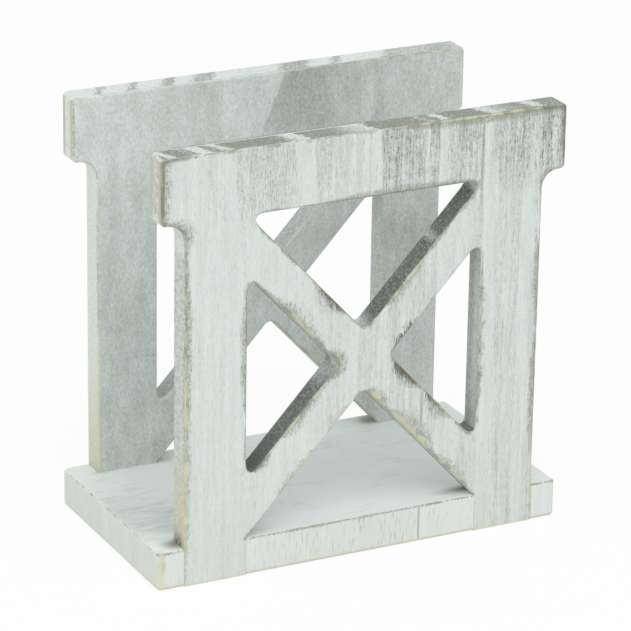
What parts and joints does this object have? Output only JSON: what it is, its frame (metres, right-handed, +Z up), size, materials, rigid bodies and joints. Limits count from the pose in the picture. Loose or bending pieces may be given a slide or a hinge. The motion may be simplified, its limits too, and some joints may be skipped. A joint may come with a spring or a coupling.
{
  "type": "napkin holder",
  "caption": "Upright napkin holder in whitewashed wood: flat base board and X-braced upright panels with eared top bars, legs let into notches in the base.",
  "frame": {"origin": "middle of the underside, where the base stands on the table", "axes": "+X along the panels, +Y from the front panel to the back panel, +Z up"},
  "size_m": [0.165, 0.088, 0.164],
  "materials": {
    "whitewashed_base": "matt whitewash over grey-olive undercoat, arrises sanded through",
    "whitewashed_panel": "matt whitewash over grey-olive undercoat, arrises sanded through to tan wood",
    "brad_steel": "bright drawn wire, heads painted over"
  },
  "bodies": {
    "root": {"base_board": "whitewashed_base", "front_panel": "whitewashed_panel", "back_panel": "whitewashed_panel", "front_brads": "brad_steel", "back_brads": "brad_steel"}
  },
  "joints": []
}
